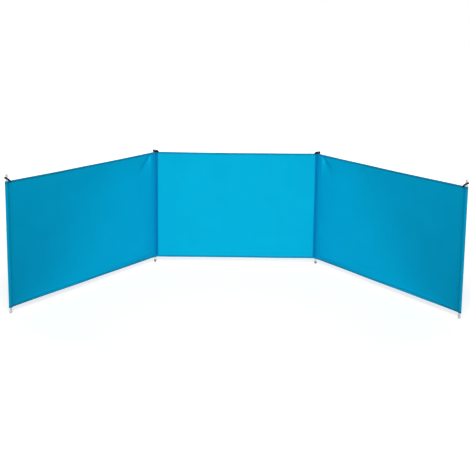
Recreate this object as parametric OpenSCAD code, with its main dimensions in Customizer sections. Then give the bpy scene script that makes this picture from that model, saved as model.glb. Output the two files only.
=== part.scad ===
// Beach windbreak: three bays of cloth on four poles.
// The two outer bays are wings, turned forward about the corner poles.
// Sizes are in millimetres. +X runs along the middle bay from the left corner pole to the right one,
// the wings come forward towards -Y, and +Z is up.
// The origin is in the middle of the underside of the left corner pole's foot.

/* [Bays] */
// Distance between the axes of neighbouring poles
bay_w = 1500; // [900:10:2000]
// Height of the cloth, from the fold of the lower hem to the fold of the upper one
cloth_h = 1000; // [600:10:1400]
// Thickness of the cloth
cloth_t = 1.2; // [0.8:0.1:2.4]
// Height of the lower hem above the ground
ground_gap = 45; // [35:1:150]
// Angle by which each wing is turned forward, out of line with the middle bay
wing_fold = 49; // [0:1:100]

/* [Poles] */
// Outside diameter of the tube
pole_d = 16; // [12:0.5:25]
// Wall of the tube
pole_wall = 0.8; // [0.6:0.1:1.6]
// Height of an end pole's tube above the cloth
end_rise = 50; // [48:1:120]
// Height of a corner pole's tube above the cloth
corner_rise = 16; // [6:1:40]

/* [Pole caps] */
// Height of the domed head
cap_h = 6; // [4:0.5:8]
// Length of the stem that plugs the tube
cap_stem = 20; // [10:1:40]

/* [Pole feet] */
// Height of the foot
foot_h = 22; // [16:1:30]
// Thickness of its sole, which the tube stands on
foot_sole = 4; // [2:0.5:6]
// Wall round the tube
foot_wall = 2; // [1.2:0.1:4]
// Bevel round the sole and the rim
foot_bevel = 1; // [0.3:0.1:1.1]

/* [Sleeves] */
// Thickness of the sleeve's cloth
sleeve_t = 1; // [0.6:0.1:2]
// Distance from an end pole's axis to the edge that is sewn to the cloth
end_seam = 38; // [28:1:60]
// Distance from a corner pole's axis to the edge that is sewn to the middle bay's cloth
corner_seam = 28; // [21:0.5:30]
// Width over which the sleeve laps the cloth at its seam
seam_lap = 7; // [4:0.5:9]
// Distance from an end pole's axis out to the fold of its sleeve, which is looser than the pole needs
end_fold = 16; // [14:0.5:22]
// Inside radius of that fold
end_fold_r = 0.8; // [0.5:0.1:2]

/* [Hems] */
// Height of a hem
hem_h = 16; // [8:1:30]
// Thickness of the turned cloth
hem_t = 0.8; // [0.5:0.1:1.2]
// Distance by which a wing's hems stop short of its corner sleeve, so that they pass it as the wing turns
hem_setback = 8; // [5:0.5:9]

/* [Straps] */
// Width of the strap on an end pole
end_strap_w = 10; // [6:0.5:14]
// Width of the strap on a corner pole
corner_strap_w = 16; // [8:0.5:20]
// Thickness of the strap
strap_t = 1.8; // [1:0.1:3]
// Distance along the loop from the pole's axis to the bend that rests on the cloth
strap_reach = 18; // [15:1:30]
// Spare length of the loop past the pole
strap_slack = 6; // [1:0.5:15]
// Slope of the loop on an end pole
end_strap_tilt = 35; // [10:1:45]
// Slope of the loop on a corner pole
corner_strap_tilt = 10; // [5:1:20]

/* [Fits] */
// Play round a pole in its sleeve and in its straps, and under a strap
pole_gap = 0.3; // [0.1:0.1:0.8]
// Play between a corner sleeve and the wing that turns about it
turn_gap = 0.6; // [0.4:0.1:1]
// Play between the cloth and what is sewn over its edges
lap_gap = 0.1; // [0.05:0.05:0.3]
// Play between the tube and the cap or the foot
plug_gap = 0.1; // [0.05:0.05:0.3]

/* [Hidden] */
$fn = 64;
// Flat steps in each bend of a sleeve, strap or hem
bend_steps = 16;

pole_r = pole_d / 2;
tube_bore_r = pole_r - pole_wall;
cloth_top = ground_gap + cloth_h;
// Half the room for the cloth inside a hem or a seam
slot_half = cloth_t / 2 + lap_gap;
hem_half = slot_half + hem_t;
// The flat cloth ends just under the folds of its hems
hem_fold = hem_t + lap_gap;
sleeve_bore_r = pole_r + pole_gap;
sleeve_r = sleeve_bore_r + sleeve_t;
// Half the thickness of a sleeve at its seam
lip_half = slot_half + sleeve_t;
// The middle bay's cloth is set back, so that the back layers of its corner sleeves run on flush with it
middle_back = sleeve_r - lip_half;
// A wing's cloth starts just clear of the round of its corner sleeve
turn_r = sleeve_r + turn_gap;
strap_bore_r = pole_r + pole_gap;
strap_r = strap_bore_r + strap_t;

cloth_colour = "deepskyblue";
hem_colour = "steelblue";
sleeve_colour = "dodgerblue";
pole_colour = "gainsboro";
corner_foot_colour = "gray";
end_foot_colour = "lightgray";
strap_colour = "black";

// Points of an arc round a centre, from one angle to another
function arc(centre, r, from, to) = [
    for (i = [0 : bend_steps])
        let (a = from + (to - from) * i / bend_steps)
            centre + r * [cos(a), sin(a)]
];

// Angle, seen from the middle of a round, between a tip and the point where a line from it touches the round
function touch_angle(r, tip) = acos(r / norm(tip));

// Points round a pole from one angle to another, past a sharper fold on the -X side if that reaches further
function round_with_fold(r, fold, fold_r, from, to) =
    let (turn = acos((r - fold_r) / (fold - fold_r)))
        concat(
            arc([0, 0], r, from, 180 - turn),
            arc([fold_r - fold, 0], fold_r, 180 - turn, 180 + turn),
            arc([0, 0], r, 180 + turn, to)
        );

// Outline that wraps a round, runs straight from it on both sides to a kink, and then on along +X as a flat lip
function wrap_outline(r, fold, fold_r, kink, lip, half) =
    let (
        front = kink - [0, half],
        back = kink + [0, half],
        from = atan2(back.y, back.x) + touch_angle(r, back),
        to = 360 + atan2(front.y, front.x) - touch_angle(r, front),
        wrap = fold > r ? round_with_fold(r, fold, fold_r, from, to) : arc([0, 0], r, from, to)
    )
        concat(wrap, [front, front + [lip, 0], back + [lip, 0], back]);

// Outline of a loop with round ends, from the near bend's centre to the far one's
function loop_outline(r, near, far) =
    concat(arc([far, 0], r, -90, 90), arc([near, 0], r, 90, 270));

// Carries the left side's pieces over to the right side
module right_side() {
    translate([bay_w, 0, 0])
        mirror([1, 0, 0])
            children();
}

// Turns a wing, drawn along +X from its corner pole with +Y as its inner face, into its place
module wing_place() {
    rotate([0, 0, 180 + wing_fold])
        children();
}

// Moves a piece from a corner pole to the end pole of a wing
module at_end_pole() {
    translate([bay_w, 0, 0])
        children();
}

// Flat cloth between two distances from a pole's axis
module cloth_panel(from, to) {
    color(cloth_colour)
        translate([from, -cloth_t / 2, ground_gap + hem_fold])
            cube([to - from, cloth_t, cloth_h - 2 * hem_fold]);
}

// Edge of the cloth turned over both faces: a slotted strip with a round fold along its top
module hem_section() {
    difference() {
        polygon(concat([[-hem_half, -hem_h], [hem_half, -hem_h]], arc([0, -hem_half], hem_half, 0, 180)));
        translate([-slot_half, -2 * hem_h])
            square([2 * slot_half, 2 * hem_h - hem_t]);
    }
}

module hem(from, to) {
    color(hem_colour)
        translate([from, 0, 0])
            rotate([90, 0, 90])
                linear_extrude(to - from)
                    hem_section();
}

module top_hem(from, to) {
    translate([0, 0, cloth_top])
        hem(from, to);
}

module bottom_hem(from, to) {
    translate([0, 0, ground_gap])
        mirror([0, 0, 1])
            hem(from, to);
}

// Tube that stands in its foot and is closed by its cap
module pole(rise) {
    tube_top = cloth_top + rise;
    color(pole_colour)
        translate([0, 0, foot_sole])
            difference() {
                cylinder(r = pole_r, h = tube_top - foot_sole);
                translate([0, 0, -foot_sole])
                    cylinder(r = tube_bore_r, h = tube_top + foot_sole);
            }
}

// Plug with a domed head
module cap(rise) {
    dome_r = (pole_r * pole_r + cap_h * cap_h) / (2 * cap_h);
    color(pole_colour)
        translate([0, 0, cloth_top + rise]) {
            rotate_extrude()
                intersection() {
                    translate([0, cap_h - dome_r])
                        circle(dome_r);
                    square([pole_r, cap_h]);
                }
            translate([0, 0, -cap_stem])
                cylinder(r = tube_bore_r - plug_gap, h = cap_stem);
        }
}

// Bevelled ferrule with a blind socket for the tube
module foot(colour) {
    socket_r = pole_r + plug_gap;
    foot_r = socket_r + foot_wall;
    color(colour)
        rotate_extrude()
            polygon([
                [0, 0],
                [foot_r - foot_bevel, 0],
                [foot_r, foot_bevel],
                [foot_r, foot_h - foot_bevel],
                [foot_r - foot_bevel, foot_h],
                [socket_r, foot_h],
                [socket_r, foot_sole],
                [0, foot_sole]
            ]);
}

// Pocket round a pole: two layers run from the pole to the seam and lap the edge of the cloth,
// which may be set back from the pole's axis. A fold of 0 leaves the pocket close round the pole
module sleeve(seam, set_back, fold) {
    kink = [seam - seam_lap, set_back];
    outside = wrap_outline(sleeve_r, fold, end_fold_r + sleeve_t, kink, seam_lap, lip_half);
    inside = wrap_outline(sleeve_bore_r, fold - sleeve_t, end_fold_r, kink, 2 * seam_lap, slot_half);
    color(sleeve_colour)
        translate([0, 0, ground_gap])
            linear_extrude(cloth_h)
                difference() {
                    polygon(outside);
                    polygon(inside);
                }
}

// Loop of strap round a pole, sloping up from the edge of the cloth on the -X side to past the pole
module strap(width, tilt) {
    near = -strap_reach;
    tight = pole_r / cos(tilt) + width / 2 * tan(tilt) + pole_gap - strap_bore_r;
    far = tight + strap_slack;
    lift = (strap_r - near) * sin(tilt) + width / 2 * cos(tilt) + pole_gap;
    color(strap_colour)
        translate([0, 0, cloth_top + lift])
            rotate([0, -tilt, 0])
                linear_extrude(width, center = true)
                    difference() {
                        polygon(loop_outline(strap_r, near, far));
                        polygon(loop_outline(strap_bore_r, near, far));
                    }
}

// Middle bay
middle_start = corner_seam - seam_lap;
middle_hem_start = corner_seam + lap_gap;

module middle_place() {
    translate([0, middle_back, 0])
        children();
}

module middle_cloth() middle_place() cloth_panel(middle_start, bay_w - middle_start);
module middle_top_hem() middle_place() top_hem(middle_hem_start, bay_w - middle_hem_start);
module middle_bottom_hem() middle_place() bottom_hem(middle_hem_start, bay_w - middle_hem_start);

module left_corner_pole() pole(corner_rise);
module left_corner_cap() cap(corner_rise);
module left_corner_foot() foot(corner_foot_colour);
module left_corner_sleeve() sleeve(corner_seam, middle_back, 0);
module left_corner_strap() mirror([1, 0, 0]) strap(corner_strap_w, corner_strap_tilt);

module right_corner_pole() right_side() left_corner_pole();
module right_corner_cap() right_side() left_corner_cap();
module right_corner_foot() right_side() left_corner_foot();
module right_corner_sleeve() right_side() left_corner_sleeve();
module right_corner_strap() right_side() left_corner_strap();

// Left wing
wing_end = bay_w - end_seam + seam_lap;
wing_hem_start = turn_r + hem_setback;
wing_hem_end = bay_w - end_seam - lap_gap;

module left_cloth() wing_place() cloth_panel(turn_r, wing_end);
module left_top_hem() wing_place() top_hem(wing_hem_start, wing_hem_end);
module left_bottom_hem() wing_place() bottom_hem(wing_hem_start, wing_hem_end);

module left_end_pole() wing_place() at_end_pole() pole(end_rise);
module left_end_cap() wing_place() at_end_pole() cap(end_rise);
module left_end_foot() wing_place() at_end_pole() foot(end_foot_colour);
module left_end_sleeve() wing_place() at_end_pole() mirror([1, 0, 0]) sleeve(end_seam, 0, end_fold);
module left_end_strap() wing_place() at_end_pole() strap(end_strap_w, end_strap_tilt);

// Right wing
module right_cloth() right_side() left_cloth();
module right_top_hem() right_side() left_top_hem();
module right_bottom_hem() right_side() left_bottom_hem();

module right_end_pole() right_side() left_end_pole();
module right_end_cap() right_side() left_end_cap();
module right_end_foot() right_side() left_end_foot();
module right_end_sleeve() right_side() left_end_sleeve();
module right_end_strap() right_side() left_end_strap();

middle_cloth();
middle_top_hem();
middle_bottom_hem();
left_corner_pole();
left_corner_cap();
left_corner_foot();
left_corner_sleeve();
left_corner_strap();
right_corner_pole();
right_corner_cap();
right_corner_foot();
right_corner_sleeve();
right_corner_strap();
left_cloth();
left_top_hem();
left_bottom_hem();
left_end_pole();
left_end_cap();
left_end_foot();
left_end_sleeve();
left_end_strap();
right_cloth();
right_top_hem();
right_bottom_hem();
right_end_pole();
right_end_cap();
right_end_foot();
right_end_sleeve();
right_end_strap();
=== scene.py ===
"""Beach windbreak: three bays of woven cloth on four slim poles, with the outer bays turned forward."""
import math

import bpy
import numpy as np
from mathutils import Matrix, Vector


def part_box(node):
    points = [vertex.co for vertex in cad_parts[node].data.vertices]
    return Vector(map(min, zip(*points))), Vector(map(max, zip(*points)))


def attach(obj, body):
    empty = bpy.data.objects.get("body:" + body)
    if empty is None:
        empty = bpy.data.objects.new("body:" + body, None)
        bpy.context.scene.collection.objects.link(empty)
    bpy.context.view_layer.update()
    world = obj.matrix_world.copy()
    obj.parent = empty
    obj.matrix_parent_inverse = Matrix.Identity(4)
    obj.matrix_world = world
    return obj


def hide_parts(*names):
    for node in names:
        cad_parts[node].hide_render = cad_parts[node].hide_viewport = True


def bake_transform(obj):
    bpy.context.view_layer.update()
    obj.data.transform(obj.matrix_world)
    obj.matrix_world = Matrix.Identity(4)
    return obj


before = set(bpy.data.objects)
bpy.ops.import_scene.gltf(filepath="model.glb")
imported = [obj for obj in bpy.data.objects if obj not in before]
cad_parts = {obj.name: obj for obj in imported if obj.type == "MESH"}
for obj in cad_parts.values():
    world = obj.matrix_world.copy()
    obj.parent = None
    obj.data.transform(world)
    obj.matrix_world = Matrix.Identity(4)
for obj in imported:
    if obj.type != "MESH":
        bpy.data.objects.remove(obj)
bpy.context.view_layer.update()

UP = np.array([0.0, 0.0, 1.0])


# Sizes and places, read from the frame

def axis_of(pole):
    """Point on the ground in the middle of a pole's box."""
    low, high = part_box(pole)
    return np.array([(low.x + high.x) / 2, (low.y + high.y) / 2, 0.0])


def node_points(node):
    """A CAD node's vertices as rows of x, y, z."""
    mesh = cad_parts[node].data
    flat = np.empty(len(mesh.vertices) * 3, np.float32)
    mesh.vertices.foreach_get("co", flat)
    return flat.reshape(-1, 3).astype(float)


def extent(node, origin, direction):
    """Lowest and highest distance of a node's vertices from a point, measured along a direction."""
    along = (node_points(node) - origin) @ direction
    return along.min(), along.max()


left_corner, right_corner = axis_of("left_corner_pole"), axis_of("right_corner_pole")
left_end, right_end = axis_of("left_end_pole"), axis_of("right_end_pole")
pole_low, pole_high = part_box("left_corner_pole")
pole_r = (pole_high.x - pole_low.x) / 2

cloth_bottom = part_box("middle_bottom_hem")[0].z
cloth_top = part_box("middle_top_hem")[1].z
cloth_height = cloth_top - cloth_bottom
hem_height = cloth_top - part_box("middle_top_hem")[0].z
middle_low, middle_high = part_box("middle_cloth")
middle_back = (middle_low.y + middle_high.y) / 2 - left_corner[1]

# Thickness of one layer of cloth, and the step from the middle of the cloth to the middle of a layer sewn on it
layer_t = 0.0005
layer_step = 0.00062
# Radius at which a sleeve's layer lies round its pole
sleeve_r = pole_r + 0.0009
# Width over which a sleeve's layers lap the cloth
seam_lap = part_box("left_corner_sleeve")[1].x - middle_low.x


class Bay:
    """A bay's own axes: u along it from its first pole, w out of the face towards the viewer, v up."""

    def __init__(self, name, first, second, facing, set_back=0.0):
        self.name = name
        self.length = float(np.linalg.norm(second - first))
        self.run = (second - first) / self.length
        self.front = facing * np.array([self.run[1], -self.run[0], 0.0])
        self.origin = first - set_back * self.front
        self.turned = np.dot(np.cross(self.run, UP), self.front) < 0

    def place(self, u, w, v):
        """The origin plus u times the run, w times the front and v times up."""
        u, w, v = np.broadcast_arrays(u, w, v)
        return (
            self.origin
            + u[..., None] * self.run
            + w[..., None] * self.front
            + v[..., None] * UP
        )


middle = Bay("middle", left_corner, right_corner, 1, middle_back)
left = Bay("left", left_corner, left_end, -1)
right = Bay("right", right_corner, right_end, 1)
wings = (left, right)

# Distances from a pole's axis to the outer edge of its seams
corner_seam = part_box("left_corner_sleeve")[1].x - left_corner[0]
end_low, end_high = extent("left_end_sleeve", left_end, left.run)
end_seam, end_fold = -end_low, end_high
wing_seam = end_seam
middle.start, middle.end = corner_seam, middle.length - corner_seam
for wing in wings:
    wing.start, wing.end = wing_seam, wing.length - end_seam


def ease(x):
    """0 below 0, 1 above 1, and 3x^2 - 2x^3 between."""
    x = np.clip(x, 0.0, 1.0)
    return x * x * (3.0 - 2.0 * x)


# Shape of the cloth

belly = {"middle": 0.008, "left": 0.05, "right": 0.05}
wave_turn = {"middle": 0.4, "left": 1.7, "right": 3.1}
top_sag = 0.0035
# Pull folds: their depth, the angle below the hem at which they start, the angles over which they drop and return, and
# the distances from the corner over which they set in and fade
fold_depth = 0.018
fold_angle, fold_drop, fold_return = 34.0, 20.0, 24.0
fold_set_in, fold_fade = 0.06, 0.16


def unevenness(bay, s, t):
    """Sum of three slanting sine waves of about a millimetre, which the cloth keeps from being folded away."""
    turn = wave_turn[bay.name]
    return (
        0.0013 * np.sin(math.tau * (1.6 * s + 0.7 * t) + turn)
        + 0.0009 * np.sin(math.tau * (2.7 * s - 1.3 * t) + 2.3 * turn)
        + 0.0006 * np.sin(math.tau * (0.8 * s + 2.9 * t) + 3.9 * turn)
    )


def corner_fold(bay, u, v):
    """Pull fold that fans out from a wing's top inner corner: with the angle below the hem it drops back steeply, then
    returns as half a bell, and it sets in and fades with the distance from the corner."""
    across, down = u - bay.start, cloth_top - v
    distance = np.hypot(across, down)
    angle = np.degrees(np.arctan2(down, across + 1e-6))
    past = angle - fold_angle
    profile = ease(past / fold_drop) * np.exp(-((np.clip(past - fold_drop, 0, None) / fold_return) ** 2))
    return -fold_depth * profile * ease(distance / fold_set_in) * np.exp(-((distance / fold_fade) ** 2))


def bowed(depth, span):
    """Extra length of a half sine wave of this depth over its span: a quarter of pi squared times depth squared, over
    the span."""
    return math.pi ** 2 / 4.0 * depth ** 2 / span


def cloth_surface(bay, u, v):
    """Points of a bay's cloth: a flat sheet that bellies back in the middle, waves gently, ripples along its lower edge
    and sags along its top edge. A wing is also pulled into a fold at its top inner corner, swells beside the corner
    sleeve and has its belly lower down in its outer half."""
    s = (u - bay.start) / (bay.end - bay.start)
    t = (v - cloth_bottom) / cloth_height
    off_seams = ease(s / 0.09) * ease((1.0 - s) / 0.09)
    lowered = 0.75 - (0.0 if bay is middle else 0.25 * ease((s - 0.35) / 0.4))
    w = -belly[bay.name] * np.sin(math.pi * np.clip(s, 0, 1) ** 1.35) * np.sin(math.pi * np.clip(t, 0, 1) ** lowered)
    w = w + off_seams * unevenness(bay, s, t)
    w = w + 0.0005 * off_seams * np.sin(math.tau * v / 0.046) * np.exp(-((t / 0.13) ** 2))
    if bay is not middle:
        inner = u - bay.start
        w = w + ease(inner / 0.03) * corner_fold(bay, u, v)
        swell = 0.019 * (1.0 - np.exp(-np.clip(inner, 0, None) / 0.1)) * np.exp(-((inner / 0.5) ** 2))
        w = w + swell * ease((1.0 - t) / 0.4) * ease(t / 0.05)
    sag = top_sag * 4.0 * np.clip(s, 0, 1) * np.clip(1.0 - s, 0, 1) * t
    return bay.place(u, w, v - sag)


# Meshes

def grid_faces(rows, columns, close_rows=False, close_columns=False):
    """Corner indices of the quads of a grid, joined end to end where a direction is closed."""
    i = np.arange(rows if close_rows else rows - 1)
    j = np.arange(columns if close_columns else columns - 1)
    i, j = np.meshgrid(i, j, indexing="ij")
    i2, j2 = (i + 1) % rows, (j + 1) % columns
    quads = np.stack([i * columns + j, i2 * columns + j, i2 * columns + j2, i * columns + j2], -1)
    corners = np.stack([np.stack([i, j], -1), np.stack([i + 1, j], -1), np.stack([i + 1, j + 1], -1),
                        np.stack([i, j + 1], -1)], -2)
    return quads.reshape(-1, 4), corners.reshape(-1, 2)


def mesh_object(name, points, quads, uv, material):
    """A smooth mesh from points, four-cornered faces and one uv pair for each face corner."""
    mesh = bpy.data.meshes.new(name)
    mesh.vertices.add(len(points))
    mesh.vertices.foreach_set("co", np.ascontiguousarray(points, np.float32).ravel())
    mesh.loops.add(quads.size)
    mesh.loops.foreach_set("vertex_index", np.ascontiguousarray(quads, np.int32).ravel())
    mesh.polygons.add(len(quads))
    mesh.polygons.foreach_set("loop_start", np.arange(len(quads), dtype=np.int32) * 4)
    mesh.polygons.foreach_set("use_smooth", np.ones(len(quads), bool))
    mesh.update(calc_edges=True)
    layer = mesh.uv_layers.new(name="cloth_uv")
    layer.data.foreach_set("uv", np.ascontiguousarray(uv, np.float32).ravel())
    mesh.validate()
    made = bpy.data.objects.new(name, mesh)
    bpy.context.scene.collection.objects.link(made)
    made.data.materials.append(material)
    return made


def grids_object(name, grids, material, closed=(False, False)):
    """One object from grids of points, each given as (points, uv, turned); a turned grid has its faces flipped."""
    points, quads, uvs, used = [], [], [], 0
    for grid, uv, turned in grids:
        rows, columns = grid.shape[:2]
        faces, corners = grid_faces(rows, columns, *closed)
        if turned:
            faces, corners = faces[:, ::-1], corners.reshape(-1, 4, 2)[:, ::-1].reshape(-1, 2)
        points.append(grid.reshape(-1, 3))
        quads.append(faces + used)
        uvs.append(uv[corners[:, 0], corners[:, 1]])
        used += rows * columns
    return mesh_object(name, np.concatenate(points), np.concatenate(quads), np.concatenate(uvs), material)


def thicken(made, thickness):
    """Gives a sheet its thickness, half to each side."""
    wall = made.modifiers.new("cloth_thickness", "SOLIDIFY")
    wall.thickness = thickness
    wall.offset = 0.0
    return made


# Materials

class Socket:
    """An output in a material's tree. Sums and products of sockets add Math nodes, and node() adds any other node."""

    def __init__(self, tree, output=None):
        self.tree, self.output = tree, output

    def node(self, kind, settings=(), inputs=(), output=0):
        """Adds a node: its settings first, then the values of its inputs or the links to them."""
        made = self.tree.nodes.new(kind)
        for key, value in dict(settings).items():
            setattr(made, key, value)
        for key, value in dict(inputs).items():
            if isinstance(value, Socket):
                self.tree.links.new(value.output, made.inputs[key])
            else:
                made.inputs[key].default_value = value
        return Socket(self.tree, made.outputs[output]) if made.outputs else made

    def beside(self, output):
        """Another output of the same node."""
        return Socket(self.tree, self.output.node.outputs[output])

    def math(self, operation, *values):
        return self.node("ShaderNodeMath", {"operation": operation}, enumerate(values))

    def __add__(self, other):
        return self.math("ADD", self, other)

    __radd__ = __add__

    def __sub__(self, other):
        return self.math("SUBTRACT", self, other)

    def __rsub__(self, other):
        return self.math("SUBTRACT", other, self)

    def __mul__(self, other):
        return self.math("MULTIPLY", self, other)

    __rmul__ = __mul__

    def __truediv__(self, other):
        return self.math("DIVIDE", self, other)

    def at_most(self, limit):
        return self.math("MINIMUM", self, limit)

    def sine(self, length):
        """Sine wave of a given length in metres."""
        return self.math("SINE", self * (math.tau / length))

    def clamped(self, low, high):
        """0 below low, 1 above high and straight between."""
        return self.node("ShaderNodeMapRange", {"clamp": True}, {"Value": self, "From Min": low, "From Max": high})

    def mix(self, first, second):
        """Colour that goes from the first to the second as this value goes from 0 to 1."""
        first, second = (c if isinstance(c, Socket) else (*c, 1.0) for c in (first, second))
        return self.node("ShaderNodeMix", {"data_type": "RGBA"}, {0: self, 6: first, 7: second}, 2)

    def noise(self, scale, detail=2.0, stretch=(1.0, 1.0, 1.0)):
        """Noise on this vector, with a scale in cells to the metre and a stretch along each axis."""
        vector = self.node("ShaderNodeMapping", {}, {"Vector": self, "Scale": stretch})
        return self.node("ShaderNodeTexNoise", {}, {"Vector": vector, "Scale": scale, "Detail": detail})

    def bump(self, distance, strength=1.0):
        """Normal of a surface raised by this height times a distance in metres."""
        return self.node("ShaderNodeBump", {}, {"Height": self, "Distance": distance, "Strength": strength})


def new_material(name):
    """An empty node material, as a socket with its tree and nothing on it."""
    made = bpy.data.materials.new(name)
    made.use_nodes = True
    made.node_tree.nodes.clear()
    return made, Socket(made.node_tree)


def finish_with(start, **inputs):
    """Adds the Principled shader with these inputs and the material's output."""
    shader = start.node("ShaderNodeBsdfPrincipled", {}, {k.replace("_", " "): v for k, v in inputs.items()})
    start.node("ShaderNodeOutputMaterial", {}, {"Surface": shader})


def shade(colour, factor):
    return tuple(c * factor for c in colour)


def cloth_uv(start):
    """The uv map in metres: as a vector, then along the piece and up it."""
    uv = start.node("ShaderNodeUVMap", {"uv_map": "cloth_uv"})
    u = start.node("ShaderNodeSeparateXYZ", {}, {"Vector": uv})
    return uv, u, u.beside(1)


def toned(tone, colour):
    """The cloth's colour, a little darker or lighter with its tone."""
    return tone.mix(shade(colour, 0.91), shade(colour, 1.09))


def woven_cloth(name, colour, thread=0.0007, depth=0.00006, groove=None, pocket=None, lip=None):
    """Plain-woven polyester: crossing threads as the product of two sines, slubs along both ways of the weave and slow
    mottling. A groove is the distance of a row of stitches up the strip. A pocket is a darker colour painted on the
    sleeve where it lies doubled over a pole, from the sleeve's flat lip, painted darker still with a colour of its own,
    to the far seam: painted shade of the crease by the pole and of the doubled cloth, which lets less light through."""
    made, start = new_material(name)
    uv, u, v = cloth_uv(start)
    threads = u.sine(thread * 2) * v.sine(thread * 2)
    slubs = uv.noise(1.0, 2.0, (30.0, 900.0, 1.0)) * 0.5 + uv.noise(1.0, 2.0, (900.0, 30.0, 1.0)) * 0.5
    mottling = uv.noise(4.0, 3.0)
    tone = (threads * 0.08 + (slubs - 0.5) * 0.9 + (mottling - 0.5) * 0.7 + 0.5).clamped(0.0, 1.0)
    height = threads * depth + (slubs - 0.5) * (depth * 2.0)
    if groove is not None:
        row = ((v - groove) / 0.0016).math("ABSOLUTE").clamped(0.0, 1.0)
        height = height + row * 0.00035 + u.sine(0.0046) * (1.0 - row) * 0.00012
    base = toned(tone, colour)
    # Painted shade: the pocket darkens the sleeve next to the pole, and the lip is darker still by the middle bay's
    # seam.
    if pocket is not None:
        base = u.clamped(0.034, 0.088).mix(toned(tone, pocket), base)
        base = u.clamped(0.009, 0.0135).mix(toned(tone, lip), base)
    finish_with(
        start,
        Base_Color=base,
        Roughness=0.74 - slubs * 0.16,
        Specular_IOR_Level=0.03,
        Sheen_Weight=0.02,
        Sheen_Roughness=0.45,
        Sheen_Tint=(0.2, 0.75, 1.0, 1.0),
        Normal=height.bump(1.0, 0.8),
    )
    return made


def sewing_thread(name, colour):
    """Twisted thread: slanting ridges along it."""
    made, start = new_material(name)
    uv, u, v = cloth_uv(start)
    twist = (u + v * 0.5).sine(0.0006) * 0.5 + 0.5
    finish_with(
        start,
        Base_Color=twist.mix(shade(colour, 0.75), colour),
        Roughness=0.55 + twist * 0.1,
        Specular_IOR_Level=0.3,
        Normal=(twist * 0.00005).bump(1.0),
    )
    return made


def elastic_webbing(name, colour):
    """Ribbed webbing: ribs along the strap, picks across them, and a fuzz of paler fibre."""
    made, start = new_material(name)
    uv, u, v = cloth_uv(start)
    ribs = v.sine(0.0013) * 0.5 + 0.5
    picks = u.sine(0.0011) * 0.5 + 0.5
    fuzz = uv.noise(1500.0, 2.0)
    tone = (ribs * 0.35 + picks * 0.25 + fuzz * 0.6 - 0.1).clamped(0.0, 1.0)
    finish_with(
        start,
        Base_Color=tone.mix(shade(colour, 0.6), shade(colour, 1.9)),
        Roughness=0.86 - ribs * 0.1,
        Specular_IOR_Level=0.05,
        Normal=(ribs * 0.0003 + picks * 0.0002).bump(1.0, 0.8),
    )
    return made


def coated_tube(name, colour):
    """Pale coating on a drawn tube: faint draw lines along it, orange peel, and scuffs that show as duller patches."""
    made, start = new_material(name)
    place = start.node("ShaderNodeTexCoord", {}, {}, 3)
    lines = place.noise(1.0, 2.0, (2500.0, 2500.0, 12.0))
    peel = place.noise(900.0, 2.0)
    scuffs = place.noise(38.0, 4.0).clamped(0.52, 0.72)
    tone = (lines * 0.5 + scuffs * 0.5).clamped(0.0, 1.0)
    finish_with(
        start,
        Base_Color=tone.mix(colour, shade(colour, 0.86)),
        Roughness=0.34 + scuffs * 0.25,
        Specular_IOR_Level=0.5,
        Coat_Weight=0.15 - scuffs * 0.1,
        Coat_Roughness=0.25,
        Normal=(peel * 0.00006 + lines * 0.00005).bump(1.0, 0.6),
    )
    return made


def moulded_plastic(name, colour):
    """Moulded plastic: fine spark grain, slow flow marks and rubbed, paler patches."""
    made, start = new_material(name)
    place = start.node("ShaderNodeTexCoord", {}, {}, 3)
    grain = place.noise(2200.0, 3.0)
    flow = place.noise(70.0, 3.0, (1.0, 1.0, 2.2))
    rubbed = place.noise(160.0, 4.0).clamped(0.55, 0.75)
    tone = (flow * 0.5 + rubbed * 0.5).clamped(0.0, 1.0)
    finish_with(
        start,
        Base_Color=tone.mix(shade(colour, 0.88), shade(colour, 1.1)),
        Roughness=0.5 + grain * 0.18,
        Specular_IOR_Level=0.4,
        Normal=(grain * 0.00012).bump(1.0, 0.7),
    )
    return made


cloth_colour = (0.0, 0.42, 0.66)
# The wings are the same cloth as the middle bay, painted a little darker and bluer: painted shade of the wings turned
# away from the light.
wing_shaded_colour = (0.0, 0.412, 0.7)
# The corner sleeves' pocket and lip colours are painted shade: darker where the cloth is doubled round the pole and
# creased by the seam.
pocket_painted_shade = (0.0, 0.25, 0.52)
lip_painted_shade = (0.0, 0.207, 0.43)
# The hems' darker colour is painted shade of the doubled cloth, which lets less light through; the turned_hem material
# carries it onto the hems and the sleeves' turned ends.
hem_shaded_colour = (0.004, 0.27, 0.46)
cyan_cloth = woven_cloth("cyan_cloth", cloth_colour)
wing_shaded_cloth = woven_cloth("wing_shaded_cloth", wing_shaded_colour)
# The end sleeves are the wings' colour painted a little darker: painted shade of the doubled cloth round the pole,
# which lets less light through.
end_pocket_shaded_cloth = woven_cloth("end_pocket_shaded_cloth", shade(wing_shaded_colour, 0.95))
corner_pocket_cloth = woven_cloth("corner_pocket_cloth", wing_shaded_colour, pocket=pocket_painted_shade, lip=lip_painted_shade)
hem_stitch_up = 0.003
turned_hem = woven_cloth("turned_hem", hem_shaded_colour, groove=hem_stitch_up)
hem_thread = sewing_thread("hem_thread", (0.006, 0.25, 0.42))
seam_thread = sewing_thread("seam_thread", (0.003, 0.3, 0.55))
tack_thread = sewing_thread("tack_thread", (0.012, 0.05, 0.09))
black_webbing = elastic_webbing("black_webbing", (0.012, 0.013, 0.016))
pale_tube = coated_tube("pale_tube", (0.86, 0.85, 0.82))
pale_cap = moulded_plastic("pale_cap", (0.84, 0.81, 0.78))
grey_ferrule = moulded_plastic("grey_ferrule", (0.24, 0.24, 0.25))
pale_ferrule = moulded_plastic("pale_ferrule", (0.95, 0.94, 0.9))

for ending, finish in (
    ("_pole", pale_tube), ("_cap", pale_cap), ("_corner_foot", grey_ferrule), ("_end_foot", pale_ferrule),
):
    for node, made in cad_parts.items():
        if node.endswith(ending):
            made.data.materials.clear()
            made.data.materials.append(finish)


# Cloth of the three bays

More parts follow.
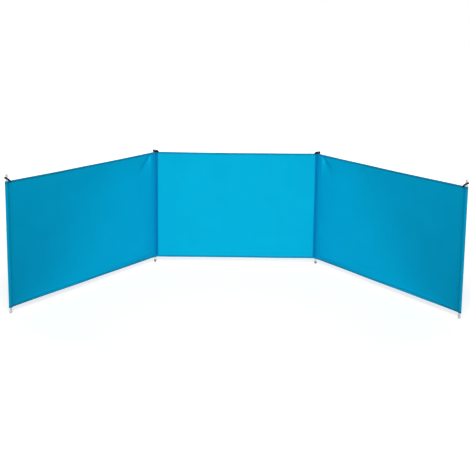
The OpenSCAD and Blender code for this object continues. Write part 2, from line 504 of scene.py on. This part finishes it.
def cloth_sheet(bay):
    """The bay's cloth on a grid of u and v, closer together near the seams and hems."""
    lap = seam_lap - 0.0005
    turn = np.linspace(0.12, math.pi - 0.12, 150)
    share = 0.5 - 0.5 * np.cos(turn) / math.cos(turn[0])
    u = bay.start - lap + (bay.end - bay.start + 2 * lap) * share
    v = cloth_bottom + 0.001 + (cloth_height - 0.002) * np.linspace(0.0, 1.0, 90)
    u, v = np.meshgrid(u, v, indexing="ij")
    made = grids_object(
        f"{bay.name}_cloth_sheet", [(cloth_surface(bay, u, v), np.stack([u, v], -1), bay.turned)],
        cyan_cloth if bay is middle else wing_shaded_cloth,
    )
    thicken(made, layer_t)
    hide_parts(f"{bay.name}_cloth")
    return made


def turned_edge(surface, normal, u, edge, inwards, height, gap=layer_step):
    """Grid of an edge turned over both faces of a surface: the front leg, a round fold past the edge, and the back leg.
    Each point is the surface at its height plus the normal times its step out of it."""
    turn = np.linspace(0.0, math.pi, 9)
    leg = np.linspace(0.001, height, 6)
    up = np.concatenate([leg[::-1], 0.0004 - 0.0006 * np.sin(turn), leg])
    out = np.concatenate([np.full(6, gap), gap * np.cos(turn), np.full(6, -gap)])
    u, up = np.meshgrid(u, up, indexing="ij")
    v = edge + inwards * up
    pucker = 0.00012 * np.sin(math.tau * u / 0.0115) * ease(up / height)
    points = surface(u, v) + (np.broadcast_to(out, u.shape) + np.sign(out) * pucker)[..., None] * normal(u, v)
    girth = np.broadcast_to(np.concatenate([height - up[0, :10], height + up[0, 10:]]), u.shape)
    return points, np.stack([u, np.minimum(girth, 2 * height - girth)], -1)


def hem(bay, which):
    """The bay's upper or lower edge, turned over both faces between the sleeves' seams."""
    edge, inwards = (cloth_top, -1.0) if which == "top" else (cloth_bottom, 1.0)
    u = np.linspace(bay.start + 0.0003, bay.end - 0.0003, 360)
    points, uv = turned_edge(
        lambda a, b: cloth_surface(bay, a, b),
        lambda a, b: np.broadcast_to(bay.front, (*a.shape, 3)),
        u, edge, inwards, hem_height,
    )
    made = grids_object(f"{bay.name}_{which}_turned_hem", [(points, uv, bay.turned != (which == "top"))], turned_hem)
    thicken(made, layer_t * 0.8)
    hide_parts(f"{bay.name}_{which}_hem")
    return made


bodies = {"middle": "middle_bay", "left": "left_wing", "right": "right_wing"}
sheets, hems = {}, {}
for bay in (middle, *wings):
    sheets[bay.name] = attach(cloth_sheet(bay), bodies[bay.name])
    hems[bay.name] = [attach(hem(bay, which), bodies[bay.name]) for which in ("top", "bottom")]


# Sleeves round the poles

def arc(centre, radius, first, last):
    """Points round a centre from one angle in degrees to another, about one to each three degrees."""
    a = np.radians(np.linspace(first, last, max(3, int(abs(last - first) / 3.0))))
    return np.stack([centre[0] + radius * np.cos(a), centre[1] + radius * np.sin(a)], -1)


def touch(point, radius):
    """Angle of a point seen from the pole's axis, and the angle from it to where a line from it touches the round."""
    return (math.degrees(math.atan2(point[1], point[0])),
            math.degrees(math.acos(radius / math.hypot(*point))))


def even_path(corners, count):
    """Corner points joined by straight runs, cut into equal steps and eased at the corners by averaging neighbours."""
    corners = np.asarray(corners, float)
    length = np.concatenate([[0.0], np.cumsum(np.hypot(*np.diff(corners, axis=0).T))])
    steps = np.linspace(0.0, length[-1], count)
    path = np.stack([np.interp(steps, length, corners[:, i]) for i in range(2)], -1)
    for _ in range(2):
        path[1:-1] = (path[:-2] + 2.0 * path[1:-1] + path[2:]) / 4.0
    return path, steps


class Strip:
    """A strip of cloth that stands on a path on the ground plan: s along the path, v up, n out of its face."""

    def __init__(self, corners, axis, count, outward, loose=0.0):
        self.path, self.steps = even_path(corners, count)
        along = np.gradient(self.path, axis=0)
        along /= np.linalg.norm(along, axis=1)[:, None]
        self.normals = outward * np.stack([along[:, 1], -along[:, 0]], -1)
        self.axis, self.loose, self.length = axis, loose, self.steps[-1]
        self.turned = outward < 0

    def look_up(self, table, s):
        return np.stack([np.interp(s, self.steps, table[:, i]) for i in range(2)], -1)

    def normal(self, s, v):
        """Normal of the path at s, level."""
        flat = self.look_up(self.normals, s)
        return np.concatenate([flat, np.zeros((*s.shape, 1))], -1)

    def surface(self, s, v):
        """The path at s, raised to v, eased out by slow waves up the strip where it isn't sewn down."""
        share = s / self.length
        free = ease((share - 0.12) / 0.2) * ease((0.88 - share) / 0.2)
        slack = 0.5 + 0.3 * np.sin(math.tau * v / 0.31 + 3.0 * share) + 0.2 * np.sin(math.tau * v / 0.117 + 1.3)
        eased = (self.loose * free * slack)[..., None] * self.look_up(self.normals, s)
        flat = self.look_up(self.path, s) + self.axis[:2] + eased
        return np.concatenate([flat, np.broadcast_to(v, s.shape)[..., None]], -1)


def sleeve_pieces(name, strips, material):
    """The sleeve's cloth and the turned ends of it, from its strips."""
    v = np.linspace(cloth_bottom + 0.0012, cloth_top - 0.0012, 80)
    body, ends = [], []
    for strip in strips:
        s, up = np.meshgrid(np.linspace(0.0, strip.length, 90), v, indexing="ij")
        body.append((strip.surface(s, up), np.stack([s, up], -1), strip.turned))
        along = np.linspace(0.0, strip.length, 90)
        for edge, inwards in ((cloth_top, -1.0), (cloth_bottom, 1.0)):
            points, uv = turned_edge(strip.surface, strip.normal, along, edge, inwards, hem_height)
            ends.append((points, uv, strip.turned != (inwards < 0)))
    cloth = thicken(grids_object(f"{name}_sleeve_cloth", body, material), layer_t)
    turned = thicken(grids_object(f"{name}_sleeve_hems", ends, turned_hem), layer_t * 0.7)
    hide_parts(f"{name}_sleeve")
    return cloth, turned


def on_plan(bay, u, w):
    """A place in a bay's own axes as x and y."""
    return (bay.origin + u * bay.run + w * bay.front)[:2]


def corner_strips(wing, corner, middle_run):
    """Front and back layers of a corner sleeve, from the middle bay's seam round the pole to the wing's seam. Each runs
    straight from its seam to where it touches the round of the pole."""
    strips = []
    outward = 1 if wing is right else -1
    for face, radius, loose, lap in ((1, sleeve_r + 0.0012, 0.0016, 0.0125), (-1, sleeve_r, 0.0, seam_lap)):
        step = face * layer_step
        first = np.array([middle_run * corner_seam, middle_back - step])
        kink = np.array([middle_run * (corner_seam - lap), middle_back - step])
        wing_kink = on_plan(wing, wing_seam - seam_lap, step) - corner[:2]
        last = on_plan(wing, wing_seam, step) - corner[:2]
        sense = middle_run * face
        here, open_1 = touch(kink, radius)
        there, open_2 = touch(wing_kink, radius)
        begin = here - sense * open_1
        end = there + sense * open_2
        while sense * (begin - end) < 0:
            end -= sense * 360.0
        round_pole = arc((0.0, 0.0), radius, begin, end)
        corners = np.concatenate([[first, kink], round_pole, [wing_kink, last]])
        strips.append(Strip(corners, corner, 160, middle_run * face, loose))
    return strips


def end_strips(wing, end):
    """One strip round an end pole, from the front seam out to a fold past the pole and back to the back seam. The front
    lies flat on the cloth for longer than the back before it rises to the pole."""
    fold_r = 0.0016
    turn = math.degrees(math.acos((sleeve_r - fold_r) / (end_fold - fold_r)))
    legs = []
    for lap in (2.4 * seam_lap, seam_lap):
        kink = np.array([lap - end_seam, layer_step])
        here, open_1 = touch(kink, sleeve_r)
        legs.append(np.concatenate([
            [[-end_seam, layer_step], kink],
            arc((0.0, 0.0), sleeve_r, here - open_1, turn),
            arc((end_fold - fold_r, 0.0), fold_r, turn, 0.0),
        ]))
    own = np.concatenate([legs[0], legs[1][-2::-1] * [1.0, -1.0]])
    corners = own[:, :1] * wing.run[:2] + own[:, 1:] * wing.front[:2]
    return [Strip(corners, end, 260, 1 if wing is right else -1, 0.0)]


sleeves, sleeve_bend = {}, {}
for wing, corner, end, sense in ((left, left_corner, left_end, 1), (right, right_corner, right_end, -1)):
    body = bodies[wing.name]
    strips = corner_strips(wing, corner, sense)
    pair = sleeve_pieces(f"{wing.name}_corner", strips, corner_pocket_cloth)
    before = corner + np.array([sense * (corner_seam - seam_lap), middle_back, 0.0])
    after = wing.place(wing_seam - seam_lap, 0.0, 0.0)
    for made in pair:
        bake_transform(made)
    strips_end = end_strips(wing, end)
    pair_end = sleeve_pieces(f"{wing.name}_end", strips_end, end_pocket_shaded_cloth)
    for made in pair_end:
        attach(made, body)
    sleeves[wing.name] = (strips, strips_end, pair, pair_end)
    sleeve_bend[wing.name] = (before, after)


# Stitches

stitch_length, stitch_pitch, thread_r = 0.0035, 0.0046, 0.00027


def stitch_rows(name, rows, material, length=stitch_length, thick=thread_r):
    """One mesh of stitches, from rows given as (middles, directions along, directions out). Each stitch is a four-sided
    bar in four rings, thinner and lower at its ends: middle + along times x + out times y + across times z."""
    middles, along, out = (np.concatenate([np.broadcast_to(r[i], r[0].shape).reshape(-1, 3) for r in rows])
                           for i in range(3))
    across = np.cross(along, out)
    x = np.repeat(np.array([-0.5, -0.3, 0.3, 0.5]) * length, 4)
    thin = np.repeat([0.55, 1.0, 1.0, 0.55], 4)
    lift = np.repeat([-0.7, 0.0, 0.0, -0.7], 4) * thick
    turn = np.tile(np.arange(4) * math.pi / 2, 4)
    y, z = lift + thick * thin * np.sin(turn), 1.25 * thick * thin * np.cos(turn)
    points = (middles[:, None, :] + x[None, :, None] * along[:, None, :]
              + y[None, :, None] * out[:, None, :] + z[None, :, None] * across[:, None, :])
    ring = np.arange(3)[:, None] * 4
    j = np.arange(4)[None, :]
    walls = np.stack([ring + j, ring + 4 + j, ring + 4 + (j + 1) % 4, ring + (j + 1) % 4], -1).reshape(-1, 4)
    one = np.concatenate([walls, [[0, 1, 2, 3], [15, 14, 13, 12]]])
    quads = (np.arange(len(middles))[:, None, None] * 16 + one[None]).reshape(-1, 4)
    uv = np.tile(np.stack([x, turn * thick], -1)[one].reshape(-1, 2), (len(middles), 1))
    return mesh_object(name, points.reshape(-1, 3), quads, uv, material)


def hem_rows(bay):
    """Rows along both hems of a bay, on both faces."""
    rows = []
    for edge, inwards in ((cloth_top, -1.0), (cloth_bottom, 1.0)):
        u = np.arange(bay.start + 0.004, bay.end - 0.004, stitch_pitch)
        on_cloth = cloth_surface(bay, u, np.full_like(u, edge + inwards * (hem_height - hem_stitch_up)))
        for face in (1.0, -1.0):
            out = face * bay.front
            rows.append((on_cloth + out * (layer_step + layer_t * 0.45), bay.run, out))
    return rows


def seam_rows(strip, inset, from_end):
    """Two rows up a sleeve's lip, a little way in from the edge of it."""
    rows = []
    v = np.arange(cloth_bottom + hem_height + 0.003, cloth_top - hem_height - 0.003, stitch_pitch)
    for step in (inset, inset + 0.003):
        at = np.full_like(v, strip.length - step if from_end else step)
        out = strip.normal(at, v)
        rows.append((strip.surface(at, v) + out * (layer_t * 0.55), UP, out))
    return rows


def end_rows(strip):
    """Rows along the turned ends of a sleeve."""
    rows = []
    s = np.arange(0.002, strip.length - 0.002, stitch_pitch)
    ahead = np.concatenate([strip.look_up(np.gradient(strip.path, axis=0), s), np.zeros((len(s), 1))], -1)
    ahead /= np.linalg.norm(ahead, axis=1)[:, None]
    for edge, inwards in ((cloth_top, -1.0), (cloth_bottom, 1.0)):
        v = np.full_like(s, edge + inwards * (hem_height - hem_stitch_up))
        out = strip.normal(s, v)
        rows.append((strip.surface(s, v) + out * (layer_step + layer_t * 0.4), ahead, out))
    return rows


def bar_tack(strip, at, edge, inwards):
    """Nine stitches close together across a seam, just inside the hem."""
    v = edge + inwards * np.linspace(0.0025, 0.0105, 9)
    s = np.full_like(v, at)
    out = strip.normal(s, v)
    ahead = np.cross(UP, out)
    return [(strip.surface(s, v) + out * (layer_step + layer_t * 0.6), ahead, out)]


def tacks(strip, ends):
    rows = []
    for at in ends:
        for edge, inwards in ((cloth_top, -1.0), (cloth_bottom, 1.0)):
            rows += bar_tack(strip, at, edge, inwards)
    return rows


sewn_on = {"middle": [], "left": [], "right": []}
middle_seams, middle_tacks = [], []
for wing in wings:
    body = bodies[wing.name]
    strips, strips_end, pair, pair_end = sleeves[wing.name]
    wing_seams, wing_tacks = [], []
    for strip in strips:
        middle_seams += seam_rows(strip, 0.002, False)
        middle_tacks += tacks(strip, [0.0035])
        wing_seams += seam_rows(strip, 0.002, True)
        wing_tacks += tacks(strip, [strip.length - 0.0035])
    for strip in strips_end:
        wing_seams += seam_rows(strip, 0.002, False) + seam_rows(strip, 0.002, True)
        wing_tacks += tacks(strip, [0.0035, strip.length - 0.0035])
    for where, own, (cloth, turned), held in (
        ("corner", strips, pair, "stretched"),
        ("end", strips_end, pair_end, "folded"),
    ):
        threads = stitch_rows(f"{wing.name}_{where}_sleeve_stitches", sum(map(end_rows, own), []), hem_thread)
        if where == "corner":
            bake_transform(threads)
        else:
            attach(threads, body)
    for what, rows, thread in (
        ("seam_stitches", wing_seams, seam_thread),
        ("hem_stitches", hem_rows(wing), hem_thread),
    ):
        sewn_on[wing.name].append(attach(stitch_rows(f"{wing.name}_{what}", rows, thread), body))
    sewn_on[wing.name].append(
        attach(stitch_rows(f"{wing.name}_bar_tacks", wing_tacks, tack_thread, 0.0062, 0.00042), body)
    )
for what, rows, thread in (
    ("seam_stitches", middle_seams, seam_thread),
    ("hem_stitches", hem_rows(middle), hem_thread),
):
    sewn_on["middle"].append(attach(stitch_rows(f"middle_{what}", rows, thread), "middle_bay"))
sewn_on["middle"].append(
    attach(stitch_rows("middle_bar_tacks", middle_tacks, tack_thread, 0.0062, 0.00042), "middle_bay")
)


# Straps

strap_t = 0.002
# For each strap: the length of its tails, how far they bend down, how far the loop sits below its place in the CAD, and
# how much wider it opens, which at the corners takes it round the outside of the sleeve
strap_fit = {"end": (0.015, 0.01, 0.0, 0.0), "corner": (0.008, 0.009, 0.003, 0.0045)}


def strap_loop(node, bay, pole, sense, set_back, tail_long, tail_drop, lowered, wider):
    """Webbing round the top of a pole: the two tails lie on the front and back of the hem, and the band runs up a slope
    from them, opens round the pole and turns past it. A flat section with round edges, drawn in to nothing at its two
    ends, is carried along that path. The tails bend down with the square of the distance into them."""
    points = node_points(node) - lowered * UP
    centre = (points.min(0) + points.max(0)) / 2
    a, b = (points - centre) @ bay.run * sense, (points - centre) @ UP
    tilts = np.radians(np.arange(0.0, 46.0, 0.25))
    spreads = np.ptp(-np.sin(tilts)[:, None] * a + np.cos(tilts)[:, None] * b, axis=1)
    tilt = tilts[spreads.argmin()]
    slope = np.cos(tilt) * bay.run * sense + np.sin(tilt) * UP
    upright = -np.sin(tilt) * bay.run * sense + np.cos(tilt) * UP
    width = spreads.min() + 0.0025
    half_long = np.ptp(a * np.cos(tilt) + b * np.sin(tilt)) / 2
    outer = np.ptp((points - centre) @ bay.front) / 2
    radius = outer - strap_t / 2 + wider
    far = half_long - outer - wider
    at_pole = (pole - centre) @ bay.run * sense / np.cos(tilt)
    tail = 0.0016 + strap_t / 2
    legs = []
    for out in (tail - set_back, tail + set_back):
        begin, lift_off = np.array([[-half_long - tail_long, out], [-half_long + 0.004, out]])
        here, opened = touch(lift_off - [at_pole, 0.0], radius)
        legs.append(np.concatenate([
            [begin, lift_off],
            arc((at_pole, 0.0), radius, here % 360.0 - opened, 90.0),
            arc((far, 0.0), radius, 90.0, 0.0),
        ]))
    path, steps = even_path(np.concatenate([legs[0], legs[1][-2::-1] * [1.0, -1.0]]), 150)
    along = np.gradient(path, axis=0)
    along /= np.linalg.norm(along, axis=1)[:, None]
    normal = np.stack([along[:, 1], -along[:, 0]], -1)
    turn = np.linspace(0.0, math.tau, 28, endpoint=False)
    across = np.sign(np.cos(turn)) * np.abs(np.cos(turn)) ** 0.35 * width / 2
    out = np.sign(np.sin(turn)) * np.abs(np.sin(turn)) ** 0.7 * strap_t / 2
    shut = np.concatenate([[0.0], np.ones(len(path)), [0.0]])
    path, normal, steps = (np.concatenate([x[:1], x, x[-1:]]) for x in (path, normal, steps))
    flat = path[:, None, :] + (shut[:, None] * out)[..., None] * normal[:, None, :]
    into = np.clip((-half_long + 0.012 - path[:, 0]) / (tail_long + 0.012), 0.0, 1.0)
    rise = shut[:, None] * across - (tail_drop * into ** 2)[:, None]
    grid = centre + flat[..., :1] * slope + flat[..., 1:] * bay.front + rise[..., None] * upright
    uv = np.stack(np.broadcast_arrays(steps[:, None], across[None, :]), -1)
    return grid, np.concatenate([uv, uv[:, :1]], 1)


for wing, corner, end, sense in ((left, left_corner, left_end, -1), (right, right_corner, right_end, 1)):
    for where, bay, pole, rise, set_back in (
        ("end", wing, end, 1, 0.0),
        ("corner", middle, corner, sense, middle_back),
    ):
        node = f"{wing.name}_{where}_strap"
        grid, uv = strap_loop(node, bay, pole, rise, set_back, *strap_fit[where])
        turned = np.dot(np.cross(rise * bay.run, UP), bay.front) < 0
        made = grids_object(f"{node}_webbing", [(grid, uv, turned)], black_webbing, (False, True))
        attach(made, bodies[bay.name])
        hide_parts(node)
        sewn_on[bay.name].append(made)

for bay in (middle, *wings):
    across = bay.end - bay.start + 2 * seam_lap
    across + bowed(belly[bay.name], across)
    cloth_height + bowed(belly[bay.name], cloth_height)
    hems[bay.name] + sewn_on[bay.name]


# Camera, floor and light

image_px = 470
focal_px = 692.4
camera_place = (0.744, -6.227, 2.363)
camera_turn, camera_dip, camera_roll = 0.13, 7.49, 0.63
camera_data = bpy.data.cameras.new("camera")
camera_data.sensor_width = 36.0
camera_data.lens = focal_px / image_px * 36.0
camera_data.shift_y = -0.29
camera_data.clip_end = 100.0
camera = bpy.data.objects.new("camera", camera_data)
bpy.context.scene.collection.objects.link(camera)
camera.matrix_world = (
    Matrix.Translation(camera_place)
    @ Matrix.Rotation(math.radians(camera_turn), 4, "Z")
    @ Matrix.Rotation(math.radians(90.0 - camera_dip), 4, "X")
    @ Matrix.Rotation(math.radians(camera_roll), 4, "Z")
)
bpy.context.scene.camera = camera


def seen_rays(start):
    """1 where the camera looks, also in a reflection or through glass, and 0 for the light that falls on the object."""
    seen = start.node("ShaderNodeLightPath")
    return (seen + seen.beside("Is Glossy Ray") + seen.beside("Is Transmission Ray")).at_most(1.0)


floor_material, start = new_material("studio_floor")
matt = start.node("ShaderNodeBsdfDiffuse", {}, {"Color": (0.55, 0.55, 0.55, 1.0)})
place = start.node("ShaderNodeTexCoord", {}, {}, 3)
off_middle = start.node("ShaderNodeVectorMath", {"operation": "DISTANCE"}, {0: place, 1: (0.75, -0.4, 0.0)}, 1)
far_off = off_middle.clamped(1.6, 3.6)
glow = start.node(
    "ShaderNodeEmission", {}, {"Color": (1.0, 1.0, 1.0, 1.0), "Strength": seen_rays(start) * (0.67 + far_off * 0.33)}
)
both = start.node("ShaderNodeAddShader", {}, {0: matt, 1: glow})
start.node("ShaderNodeOutputMaterial", {}, {"Surface": both})
side = np.linspace(-30.0, 30.0, 2)
floor_x, floor_y = np.meshgrid(side, side, indexing="ij")
floor = grids_object(
    "studio_floor",
    [(np.stack([floor_x, floor_y, np.full_like(floor_x, -0.0005)], -1), np.stack([floor_x, floor_y], -1), True)],
    floor_material,
)

world = bpy.data.worlds.new("studio")
bpy.context.scene.world = world
world.use_nodes = True
world.node_tree.nodes.clear()
start = Socket(world.node_tree)
strength = start.node("ShaderNodeMix", {"data_type": "FLOAT"}, {0: seen_rays(start), 2: 0.04, 3: 1.0})
sky = start.node("ShaderNodeBackground", {}, {"Color": (1.0, 1.0, 1.0, 1.0), "Strength": strength})
start.node("ShaderNodeOutputWorld", {}, {"Surface": sky})


def aim(data, place, target):
    """Puts a lamp at a place and turns it towards a point."""
    lamp = bpy.data.objects.new(data.name, data)
    bpy.context.scene.collection.objects.link(lamp)
    lamp.location = place
    lamp.rotation_mode = "QUATERNION"
    lamp.rotation_quaternion = (Vector(target) - Vector(place)).to_track_quat("-Z", "Y")


def soft_light(name, place, target, width, height, watts):
    """A large rectangular lamp turned towards a point."""
    data = bpy.data.lights.new(name, "AREA")
    data.shape = "RECTANGLE"
    data.size, data.size_y, data.energy = width, height, watts
    aim(data, place, target)


def beam(name, place, target, radius, width_deg, watts):
    """A soft-edged beam turned towards a point, weaker towards its sides."""
    data = bpy.data.lights.new(name, "SPOT")
    data.shadow_soft_size, data.energy = radius, watts
    data.spot_size, data.spot_blend = math.radians(width_deg), 1.0
    aim(data, place, target)


beam("front_light", (0.75, -15.0, 5.0), (0.75, 0.2, 0.4), 1.3, 20.0, 6400.0)
soft_light("top_light", (0.75, -4.6, 6.6), (0.75, 0.0, 0.2), 3.4, 2.4, 250.0)
soft_light("back_light", (0.75, 11.0, 2.2), (0.75, 0.0, 0.6), 5.0, 2.5, 800.0)

bpy.context.scene.view_settings.view_transform = "Standard"
